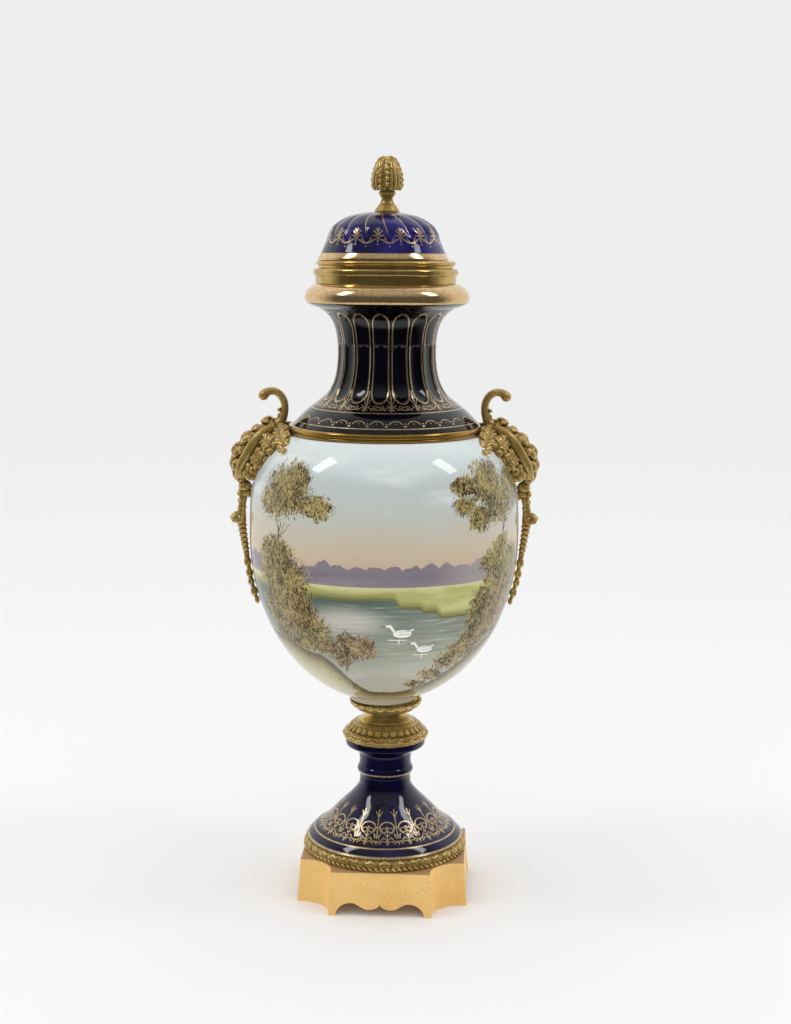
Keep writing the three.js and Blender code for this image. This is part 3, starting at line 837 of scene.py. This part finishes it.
    # Swans
    for middleSpot, size in painting["swans"]:
        white, dark = swan(paint, flat, middleSpot, size)
        picture = paint.mix(white * 0.95, picture, "f1f1e8")
        picture = paint.mix(dark * 0.75, picture, "4d6064")

    picture = paint.mix(z.under(163, 5), picture, "bdb095")
    paint.set({"Base_Color": picture, "Roughness": fine * 0.03 + 0.06})
    return paint.material


makeVase()


# Shoulder ring: a turned brass band between the vase and its neck.

def makeShoulderRing():
    line = [(66, 0), (71.2, 0)] + curveThrough([(71.4, 0.1), (72.1, 0.8), (72, 1.7), (71.3, 2.1)], 4) \
        + curveThrough([(71.5, 2.4), (72.4, 3.2), (72.5, 4.6), (71.9, 5.8), (71, 6.3)], 5) + [(66, 6.5)]
    piece = turn("shoulder_ring", "shoulder_ring", line, 192, closed=True)
    finish(piece, polishedBrass("polished shoulder ring", "shoulder_ring", colour="b58e45"),
           "shoulder_ring", slot="gilt_brass")


makeShoulderRing()


# Neck: a waisted cobalt neck with sunk flutes and a gilt cushion lip.

neck = {
    "throat": [(69.8, 0), (61.6, 8.7), (51.6, 16.7), (44, 23.7), (38.6, 35.7), (36.6, 52.7), (38.2, 69.7),
               (43.1, 80.1), (50.3, 86)],
    "lip": [(50.3, 86), (56, 88), (60, 90.3), (61.3, 93.4), (60.6, 96.8), (58, 100.6), (53.6, 103.7)],
    "inside": [(48.4, 103.7), (46.5, 102), (46.5, 93), (45, 87), (38.6, 80), (33.7, 69), (32, 52.7), (34, 35.7),
               (38, 27), (47, 16), (57, 7), (65, 0)],
    "flutes": 17, "fluteTurn": -6.5, "fluteHalf": 8.6, "fluteLow": 19.2, "fluteHigh": 83,
    "fluteEnd": 9, "sink": 1.7,
    "lines": (2.9, 13), "scallops": 30, "patternRise": 1.5,
}


def fluteShare(across, rise, root):  # 0 in the middle of a flute, 1 at its edge, with round ends
    low, high, end = neck["fluteLow"], neck["fluteHigh"], neck["fluteEnd"]
    past = abs(rise - (low + high) / 2) - ((high - low) / 2 - end)
    return root(across, past)


def makeNeck():
    line = curveThrough(neck["throat"], 14) + curveThrough(neck["lip"], 8) + curveThrough(neck["inside"], 3)
    piece = turn("neck", "neck", line, neck["flutes"] * 24, closed=True)

    def relief(angle, rise, radius):
        across = wrapped(angle - neck["fluteTurn"], 360 / neck["flutes"]) / neck["fluteHalf"]
        share = fluteShare(across, rise, lambda a, past: np.hypot(a, np.maximum(past, 0) / neck["fluteEnd"]))
        outer = radius > np.interp(rise, [0, 23.7, 52.7, 86], [66, 41, 34.5, 46])
        return -neck["sink"] * outer * np.sqrt(np.clip(1 - share ** 2, 0, 1))

    chase(piece, "neck", relief)
    finish(piece, neckGlaze(), "neck", slot="cobalt_porcelain", smoothAngle=50)


def neckGlaze():
    paint = clearGlaze("cobalt neck")
    place = paint.place("neck")
    angle, height, radius = paint.around(place)
    cell = 360 / neck["flutes"]
    offset = angle.wrapped(cell, -neck["fluteTurn"])
    share = fluteShare(offset / neck["fluteHalf"], height, lambda a, past: (
        a * a + (past.most(0) / neck["fluteEnd"]) * (past.most(0) / neck["fluteEnd"])).math("SQRT"))
    gold = (abs(share - 1) * neck["fluteHalf"] * radius * math.radians(1)).under(0.42, 0.1)
    for line in neck["lines"]:
        gold = gold.most(height.near(line, 0.55, 0.06))
    gold = gold.most(neckGarland(paint, angle, height, radius))
    lip = height.between(90.2, 90.4) * radius.between(47, 47.2)
    # The neck's cobalt is given near black, darker than the same glaze on the foot and lid: a painted shade.
    gildNeck(paint, place, gold, lip, "020208", "05040f")
    return paint.material


def neckGarland(paint, angle, height, radius):  # lilies between the flutes, a swag, and a row of scallops
    cell = 360 / neck["flutes"]
    perDegree = radius * math.radians(1)
    y = height * neck["patternRise"]
    lily = joinXY(paint, abs(angle.wrapped(cell, cell / 2 - neck["fluteTurn"])) * perDegree, y)
    swag = joinXY(paint, abs(angle.wrapped(cell, -neck["fluteTurn"])) * perDegree, y)
    scallop = joinXY(paint, abs(angle.wrapped(360 / neck["scallops"], 6)) * perDegree, y)
    shapes = [
        stroke(lily, (0, 21.5), (0, 42), 1.1, 0.6),
        stroke(lily, (0, 26), (2.6, 33), 0.9, 0.5),
        stroke(lily, (0, 24), (3.4, 27.5), 0.8, 0.5),
        stroke(lily, (0, 25), (2.2, 21.8), 0.8, 0.5),
        blob(lily, (0, 24.6), 1.1),
        ring(swag, (0, 34), 11.4, 0.7) + y.between(26.5, 27.5) * 9,
        ring(swag, (2.6, 25.2), 1.3, 0.6),
        blob(swag, (0, 25.6), 0.55),
        blob(swag, (5.2, 22.4), 0.5),
        ring(scallop, (0, 7), 5, 0.65) + y.between(8.6, 8.2) * 9,
        blob(scallop, (0, 9.4), 0.45),
        blob(scallop, (6.5, 7), 0.75),
        blob(scallop, (6.6, 9.4), 0.5),
    ]
    return closest(shapes).under(0, 0.1)


def gildNeck(paint, place, gold, lip, *blues):  # the glaze again, with a broad rose gilt lip
    gildGlaze(paint, place, gold, *blues)
    rub = paint.noise(place, 0.5, 3, 0.6)
    blueAndLines = paint.shader.inputs["Base Color"].links[0].from_socket
    rose = paint.mix(rub.between(0.35, 0.7), "e6c795", "d2ad79")
    paint.set({
        "Base_Color": paint.mix(lip, Wire(paint, blueAndLines), rose),
        "Metallic": gold.most(lip) * 0.9,
        "Roughness": gold * 0.2 + lip * 0.05 + rub * 0.04 + 0.06,
    })


makeNeck()


# Mouth collar and lid collar: plain turned bands of polished brass.

def makeCollars():
    band = [(48.5, 0), (51.9, 0), (52.2, 0.3), (52.2, 5.6)] \
        + curveThrough([(52.3, 5.9), (53.3, 6.5), (53.8, 8), (53.4, 9.9), (52.5, 10.9)], 5) + [(48.5, 11)]
    piece = turn("mouth_collar", "mouth_collar", band, 192, closed=True)
    finish(piece, polishedBrass("polished mouth collar", "mouth_collar", colour="cdad68", metal=0.9),
           "mouth_collar", slot="gilt_brass")
    rim = [(45.3, 0), (46.9, 0), (46.9, 8), (49.8, 8), (50.1, 8.3), (50.1, 9.9)] \
        + curveThrough([(50.4, 10.1), (51.6, 10.7), (51.9, 11.6), (51.6, 12.5), (50.2, 13.3)], 5) \
        + [(49.9, 13.5), (45.3, 13.5)]
    piece = turn("lid_collar", "lid_collar", rim, 192, closed=True)
    finish(piece, polishedBrass("polished lid collar", "lid_collar", colour="d4b062", metal=0.88),
           "lid_collar", slot="gilt_brass")


makeCollars()


# Lid: a domed cobalt lid with turning lobes and a gilt rim.

lid = {
    "rim": [(48.3, 0), (48.5, 0.9), (48.1, 2), (46.6, 4.6), (45.9, 5.6)],
    "dome": [(45.9, 5.6), (42.6, 13.1), (40.1, 20.6), (35.5, 26.4), (25.6, 31.8), (13, 34.6)],
    "inside": [(0, 30), (16, 29), (29, 25), (34.8, 20.6), (37.8, 13.1), (41, 5.6), (43, 0)],
    "lobes": 16, "lobeTurn": 6, "swirl": -9, "lobeLow": 17, "lobeSpan": 17, "sink": 1.1, "motifTurn": -5.3,
}


def makeLid():
    dome = curveThrough(lid["dome"], 14)
    line = [(43, 0)] + curveThrough(lid["rim"], 4) + dome[1:] + [(6, 34.6), (0, 34.6)]
    inside = curveThrough(lid["inside"], 5)
    piece = turn("lid", "lid", inside + line[1:], lid["lobes"] * 18)

    def relief(angle, rise, radius):
        climb = (rise - lid["lobeLow"]) / lid["lobeSpan"]
        turned = angle - lid["lobeTurn"] - lid["swirl"] * climb
        across = wrapped(turned, 360 / lid["lobes"]) * lid["lobes"] / 180
        outer = radius > np.interp(rise, [0, 5.6, 20, 27, 32, 34], [45, 43.5, 37.5, 30, 18, 3])
        fade = ease(rise, lid["lobeLow"] - 2, lid["lobeLow"] + 3) * ease(34.4 - rise, 0, 1.6)
        return -lid["sink"] * outer * fade * (1 - abs(across)) ** 2

    chase(piece, "lid", relief)
    finish(piece, lidGlaze(), "lid", slot="cobalt_porcelain", smoothAngle=50)


def lidGlaze():
    paint = clearGlaze("cobalt lid")
    place = paint.place("lid")
    angle, height, radius = paint.around(place)
    perDegree = radius * math.radians(1)
    cell = 360 / lid["lobes"]
    climb = (height - lid["lobeLow"]) * (1 / lid["lobeSpan"])
    valley = abs((angle - climb * lid["swirl"]).wrapped(cell, -lid["lobeTurn"])) * perDegree
    point = height.between(lid["lobeLow"] + 1.5, lid["lobeLow"] + 5)
    gold = (valley - point * 0.2).under(0.14, 0.08) * height.between(19.2, 19.8)
    x = angle.wrapped(cell, -lid["motifTurn"]) * perDegree
    y = height * 1.06
    motif = joinXY(paint, abs(x), y)
    swag = joinXY(paint, abs(angle.wrapped(cell, cell / 2 - lid["motifTurn"])) * perDegree, y)
    shapes = [
        stroke(motif, (0, 14.2), (0, 24.6), 1.1, 0.3),
        stroke(motif, (0, 21.6), (1.5, 24), 0.8, 0.4),
        stroke(motif, (0, 18.8), (3, 22.4), 1.2, 0.5),
        stroke(motif, (0, 18.2), (4, 18.9), 1.3, 0.5),
        stroke(motif, (0, 17.6), (3, 15), 1.1, 0.5),
        blob(motif, (0, 18.3), 1.5),
        blob(motif, (0, 12.2), 0.6),
        ring(swag, (0, 19.4), 6.2, 1.2) + y.between(16, 16.8) * 9,
        stroke(swag, (2.2, 14.4), (3.4, 17.4), 0.9, 0.4),
        blob(swag, (0, 10.6), 0.5),
    ]
    gold = gold.most(closest(shapes).under(0, 0.1))
    rim = height.under(5, 0.1) * radius.between(44.6, 44.8)
    gildNeck(paint, place, gold, rim)
    return paint.material


makeLid()


# Castings: leaves, rods and knobs are laid over each other and fused, as a modeller builds them in wax.

def petal(base, tip, face, wide, lobes=3, cup=0.3, curl=0.25, bulge=0.2, thick=1.8):
    clearSelection()
    bpy.ops.mesh.primitive_grid_add(x_subdivisions=34, y_subdivisions=26, size=2)
    leaf = bpy.context.object
    flat = np.empty(len(leaf.data.vertices) * 3)
    leaf.data.vertices.foreach_get("co", flat)
    along, across = (flat[0::3] + 1) / 2, flat[1::3]
    base, run = np.array(base, float), np.array(tip, float) - np.array(base, float)
    length = np.linalg.norm(run)
    face = np.array(face, float) - run * (np.dot(face, run) / length ** 2)
    face /= np.linalg.norm(face)
    sideways = np.cross(run / length, face)
    out = abs(across)
    scallop = abs(np.sin(math.pi * lobes * (along + 0.12 * out)))
    half = wide * np.clip(np.sin(math.pi * along ** 0.7), 0.06, 1) ** 0.5 * (0.72 + 0.28 * scallop ** 0.7)
    height = wide * (bulge * np.sin(math.pi * along) - cup * out ** 2) \
        - length * curl * ease(along, 0.45, 1) ** 2
    crisp = np.minimum(wide, 8) / 8
    height += crisp * (1.5 * scallop ** 0.6 * ease(out, 0.2, 0.7) - 0.9 * np.exp(-(out / 0.13) ** 2)
                       + 0.55 * np.cos(math.pi * lobes * 4 * (along + 0.25 * out)) * ease(out, 0.15, 0.4))
    reach = along + 0.1 * scallop * out
    place = base + run * reach[:, None] + sideways * (across * half)[:, None] + face * height[:, None]
    leaf.data.vertices.foreach_set("co", (place * mm).ravel())
    leaf.data.update()
    return applied(leaf, "SOLIDIFY", thickness=thick * mm, offset=0)


def rod(stations, deep=1.0, ringed=None):  # a tapering rod through (x, y, z, radius) stations
    line = curveThrough(stations, 12)
    data = bpy.data.curves.new("rod", "CURVE")
    data.dimensions, data.bevel_depth, data.bevel_resolution, data.use_fill_caps = "3D", mm, 5, True
    spline = data.splines.new("POLY")
    spline.points.add(len(line) - 1)
    for point, (x, y, z, size) in zip(spline.points, line):
        point.co = (x * mm, y * mm, z * mm, 1)
        beaded = ringed and ringed[0] < z < ringed[1]
        point.radius = size * (1 + 0.2 * math.cos(z * math.tau / ringed[2])) if beaded else size
    made = bpy.data.objects.new("rod", data)
    bpy.context.collection.objects.link(made)
    clearSelection()
    bpy.context.view_layer.objects.active = made
    made.select_set(True)
    bpy.ops.object.convert(target="MESH")
    made = bpy.context.object
    made.data.transform(Matrix.Diagonal((1, deep, 1, 1)))
    return made


def knob(x, y, z, wide, deep, high, lean=0.0, facets=0):
    clearSelection()
    if facets:
        bpy.ops.mesh.primitive_ico_sphere_add(subdivisions=facets, radius=mm)
    else:
        bpy.ops.mesh.primitive_uv_sphere_add(segments=20, ring_count=12, radius=mm)
    made = bpy.context.object
    made.data.transform(Matrix.Translation((x * mm, y * mm, z * mm)) @ Matrix.Rotation(lean, 4, "Y")
                        @ Matrix.Diagonal((wide, deep, high, 1)))
    return made


def fused(name, parts, voxel, grain, grainSize):  # one cast skin over all the parts
    clearSelection()
    for part in parts:
        part.select_set(True)
    bpy.context.view_layer.objects.active = parts[0]
    bpy.ops.object.join()
    piece = bpy.context.object
    piece.name = piece.data.name = name
    applied(piece, "REMESH", mode="VOXEL", voxel_size=voxel * mm)
    applied(piece, "SMOOTH", factor=0.5, iterations=1)
    chasing = bpy.data.textures.new(name + "Chasing", "CLOUDS")
    chasing.noise_scale = grainSize * mm
    applied(piece, "DISPLACE", texture=chasing, strength=grain * mm, mid_level=0.5)
    return piece


# Finial: a closed bud of crisp leaves on a small turned foot.

finial = {
    "foot": [(0, 0), (9, 0), (9.4, 0.4), (9.3, 1.2), (8.6, 2), (7.3, 3.9), (5.2, 6.6), (4.3, 9), (4.6, 11),
             (6.3, 12.6), (6.6, 13.6), (5.6, 14.8), (6, 16.5)],
    "bud": [(10, 17.4), (10.9, 20.6), (10.6, 24), (9.8, 28), (8.6, 32), (7, 35.6), (5.2, 38), (3.4, 38.7),
            (0, 39.1)],
    "leaves": 4, "leafTurn": -14,
    "curls": [(18.6, 10.6), (22.6, 10.9), (26.4, 10.3), (30, 9.2), (33.4, 7.8), (36.6, 6)],
    "voxel": 0.42, "grain": 0.12, "grainSize": 1.2,
}


def makeFinial():
    centre, bottom = seat("finial")
    line = curveThrough(finial["foot"][4:10], 5)
    body = drawOutline("bud", finial["foot"][:4] + line + finial["foot"][10:] + curveThrough(finial["bud"], 5))
    bpy.ops.mesh.select_all(action="SELECT")
    bpy.ops.mesh.spin(steps=64, angle=math.tau, center=(0, 0, 0), axis=(0, 0, 1))
    bpy.ops.mesh.select_all(action="SELECT")
    bpy.ops.mesh.remove_doubles(threshold=mm * 0.002)
    bpy.ops.mesh.normals_make_consistent(inside=False)
    bpy.ops.object.mode_set(mode="OBJECT")
    parts = [body]
    for i in range(finial["leaves"]):
        turn = math.radians(finial["leafTurn"] + 360 * i / finial["leaves"] - 90)
        c, s = math.cos(turn), math.sin(turn)
        parts.append(petal((9.6 * c, 9.6 * s, 15.6), (5.2 * c, 5.2 * s, 38.6), (c, s, 0.1), 6.4,
                           lobes=5, cup=0.5, curl=0.02, bulge=0.36, thick=1.6))
        for rise, radius in finial["curls"]:
            for side in (-1, 1):
                at = turn + side * 2.7 / radius
                spot = (radius * math.cos(at), radius * math.sin(at), rise + side * 0.9)
                parts.append(knob(*spot, 1.5, 1.5, 1.9))
        for offset, radius in ((30, 10.7), (45, 11), (60, 10.7)):  # smooth folds between the leaves
            at = turn + math.radians(offset)
            c, s = math.cos(at), math.sin(at)
            parts.append(rod([((radius - 1.2) * c, (radius - 1.2) * s, 16, 1.2),
                              (radius * c, radius * s, 20, 1.5),
                              (radius * 0.9 * c, radius * 0.9 * s, 28, 1.4),
                              (radius * 0.66 * c, radius * 0.66 * s, 35, 1.2),
                              (radius * 0.4 * c, radius * 0.4 * s, 37.6, 0.9)]))
    parts.append(knob(0, 0, 37.5, 3.6, 3.6, 2))
    piece = fused("cast_finial", parts, finial["voxel"], finial["grain"], finial["grainSize"])
    piece.data.transform(Matrix.Translation((centre * mm, 0, bottom * mm)))
    finish(piece, castGilt("cast finial", "finial"), "finial", slot="gilt_bronze", smoothAngle=60)


makeFinial()


# Handles: a cast acanthus leaf over the shoulder, with a curl above it and a garland below.
# Places are (outwards, sideways, up) in millimetres, up from the handle's lowest point.

handle = {
    "curl": [(91.2, 0, 157.4, 2.4), (90.8, 0, 160.2, 3.7), (87.6, 0, 162.6, 3.2), (83.2, 0, 163.2, 2.9),
             (78.6, 0, 160.8, 3), (75.6, 0, 156, 3), (74.9, 0, 150.6, 2.9), (75.8, 0, 145.2, 3.2),
             (78.6, 0, 139.8, 4), (84, 0, 136.4, 4.4)],
    "core": [(80, 0, 136, 4), (90, 0, 134, 5), (98, 0, 129, 5.5), (104.5, 0, 121, 6), (108.6, 0, 111, 5.6),
             (109.4, 0, 102, 4.6), (107.6, 0, 95.4, 3.4)],
    "channel": [(82, -9, 137.4, 3.6), (90.5, -12, 132.6, 4), (96.5, -13.5, 126.4, 4), (101.6, -13, 118, 4),
                (106.4, -10, 109, 4.2), (108.4, -5.4, 100, 4)],
    "petals": [  # base, tip, which way it faces, half width, lobes, cup, curl
        ((80, -2, 138.6), (92, -1, 142.2), (0, -0.3, 1), 6, 2, 0.2, 0.1),
        ((80.5, -6, 139), (71.6, -43, 123), (0.6, -0.5, 0.8), 7.6, 4, 0.35, 0.05),
        ((90, -3, 135), (99.4, -4, 136.2), (0.2, -0.3, 1), 4.6, 2, 0.4, 0.15),
        ((96, -4, 130), (107.8, -6, 129), (0.4, -0.5, 1), 7, 3, 0.45, 0.3),
        ((103, -3, 124), (115.6, -4, 117), (0.9, -0.5, 0.5), 7.5, 3, 0.45, 0.25),
        ((107, -3, 116), (116.2, -4, 106), (1, -0.6, 0.2), 7, 3, 0.45, 0.25),
        ((108, -3, 107), (113.2, -4, 98), (1, -0.6, 0), 5.6, 3, 0.45, 0.2),
        ((92, -13, 131), (79.4, -34, 121.4), (0.7, -0.7, 0.5), 7, 3, 0.5, 0.2),
        ((99, -12, 121), (87.6, -29, 109.6), (0.7, -0.8, 0.3), 8.4, 4, 0.5, 0.2),
        ((106, -8, 109), (97.4, -21, 101.6), (0.6, -0.9, 0.1), 6.6, 3, 0.5, 0.2),
    ],
    "bud": [  # place, then how wide, deep and tall
        (105.2, 0, 91.4, 5.2, 6, 4.6), (104.4, 0, 86.4, 4.6, 5.6, 3.2), (101.6, -2.6, 84.4, 2, 2.6, 2.6),
        (109, 0, 86, 2.4, 4.4, 2.6), (107.8, 0, 80.6, 3.4, 4.2, 2), (107.6, 0, 74.8, 3.6, 4.2, 2),
    ],
    "garland": [(106.6, 0, 96, 3), (106.4, 0, 84, 3), (107.6, 0, 76, 2.9), (108, 0, 68, 3.6), (107.4, 0, 60, 3.2),
                (106, 0, 50, 2.7), (104.8, 0, 42, 2.4), (103.6, 0, 34.5, 1.7), (101.9, 0, 24.6, 1.5),
                (100.5, 0, 17.2, 1.5), (98.4, 0, 9.4, 1.4), (96.8, 0, 4, 1)],
    "beads": [(103.6, 33.2, 2.9, 4.2, 4), (102.2, 24.7, 2.8, 3.9, 3.5), (101, 17.8, 2.7, 3.6, 3),
              (98.8, 10.4, 2.8, 3.5, 4), (96.6, 3.8, 1.9, 2.6, 3.2)],
    "notches": [(79.4, 149.4), (79.2, 145.4), (80.6, 142)],
    "voxel": 0.53, "grain": 0.18, "grainSize": 1.7,
}


def makeHandles():
    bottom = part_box("handle_right")[0].z / mm
    ringed = (41, 63, 3.6)
    parts = [rod(handle["curl"], 1.5), rod(handle["core"], 1.3), rod(handle["garland"], 1.3, ringed)]
    for side in (1, -1):
        flip = (1, side, 1)
        parts.append(rod([(x, y * side, z, size) for x, y, z, size in handle["channel"]]))
        for base, tip, face, wide, lobes, cup, curl in handle["petals"]:
            base, tip, face = (tuple(a * b for a, b in zip(point, flip)) for point in (base, tip, face))
            parts.append(petal(base, tip, face, wide, lobes, cup, curl, thick=2))
        parts.append(knob(72.6, -42.4 * side, 123, 3, 4.6, 2.4))
        parts.append(knob(108.6, -3.2 * side, 66.4, 3.2, 3, 4.4, facets=1))
    for x, y, z, wide, deep, high in handle["bud"]:
        parts.append(knob(x, y, z, wide, deep, high, 0.15))
    for x, z, wide, deep, high in handle["beads"]:
        parts.append(knob(x, 0, z, wide, deep, high, 0.15))
        parts.append(knob(x + 1, 0, z + high * 0.7, wide * 0.6, deep * 0.8, 1, 0.15))
    for x, z in handle["notches"]:
        parts.append(knob(x, 0, z, 1.9, 4.4, 1.6, 0.6, facets=1))
    parts.append(knob(111.6, 0, 67.4, 5.6, 6, 5.2, 0.3, facets=1))
    parts.append(knob(90.8, 0, 160, 4, 5.6, 3.9))
    parts.append(knob(77, 0, 135.9, 5, 5, 2.4))
    right = fused("cast_handle_right", parts, handle["voxel"], handle["grain"], handle["grainSize"])
    right.data.transform(Matrix.Translation((0, 0, bottom * mm)))
    left = right.copy()
    left.data = right.data.copy()
    left.name = left.data.name = "cast_handle_left"
    bpy.context.collection.objects.link(left)
    left.data.transform(Matrix.Rotation(math.pi, 4, "Z"))
    gilding = castGilt("cast handle", "vase_body")
    for piece, node in ((right, "handle_right"), (left, "handle_left")):
        finish(piece, gilding, node, slot="gilt_bronze", smoothAngle=60)


makeHandles()


# Light and floor: a pale studio, its far side light and the side behind the viewer dark.

studio = {
    "lights": {
        "left": {"spot": (-1.0, -0.22, 1.5), "size": (0.26, 0.48), "watts": 3},
        "right": {"spot": (1.0, -0.22, 1.5), "size": (0.26, 0.48), "watts": 2.6},
    },
    "floor": "f4f4f5", "background": "eeeeef", "glow": 0.944,
}


def makeLights():
    middle = Vector((0, 0, (cadLow.z + cadHigh.z) / 2))
    for name, facts in studio["lights"].items():
        clearSelection()
        bpy.ops.object.light_add(type="AREA", location=facts["spot"])
        light = bpy.context.object
        light.name = "light_" + name
        light.data.shape = "RECTANGLE"
        light.data.size, light.data.size_y = facts["size"]
        light.data.energy = facts["watts"]
        light.rotation_euler = (middle - light.location).to_track_quat("-Z", "Y").to_euler()
        light.visible_camera = False


def makeRoom():
    clearSelection()
    bpy.ops.mesh.primitive_plane_add(size=60, location=(0, 0, 0))
    floor = bpy.context.object
    floor.name = "floor"
    floor.data.materials.append(Paint("floor", Base_Color=studio["floor"], Roughness=0.7,
                                      Specular_IOR_Level=0.0).material)
    floor.visible_glossy = False
    world = bpy.data.worlds.new("studio")
    bpy.context.scene.world = world
    room = Nodes(world)
    toward = room.node("TexCoord", {}, {})
    y, z = (room.node("SeparateXYZ", {}, {0: toward}, i) for i in (1, 2))
    mirrored = (y.between(-0.3, 0.5) * 0.85).most(z.between(0.45, 0.95) * 0.4).most(
        z.between(-0.6, -0.75) * 0.8) + 0.03
    seen, gloss = (room.node("LightPath", {}, {}, i) for i in (0, 3))
    strength = gloss * (mirrored - studio["glow"]) + studio["glow"]
    background = next(n for n in room.tree.nodes if n.type == "BACKGROUND")
    room.join(background.inputs["Color"], room.mix(seen, (1, 1, 1, 1), studio["background"]))
    room.join(background.inputs["Strength"], strength * (1 - seen) + seen)


makeLights()
makeRoom()
bpy.context.scene.view_settings.view_transform = "Standard"
print("lights and floor made")
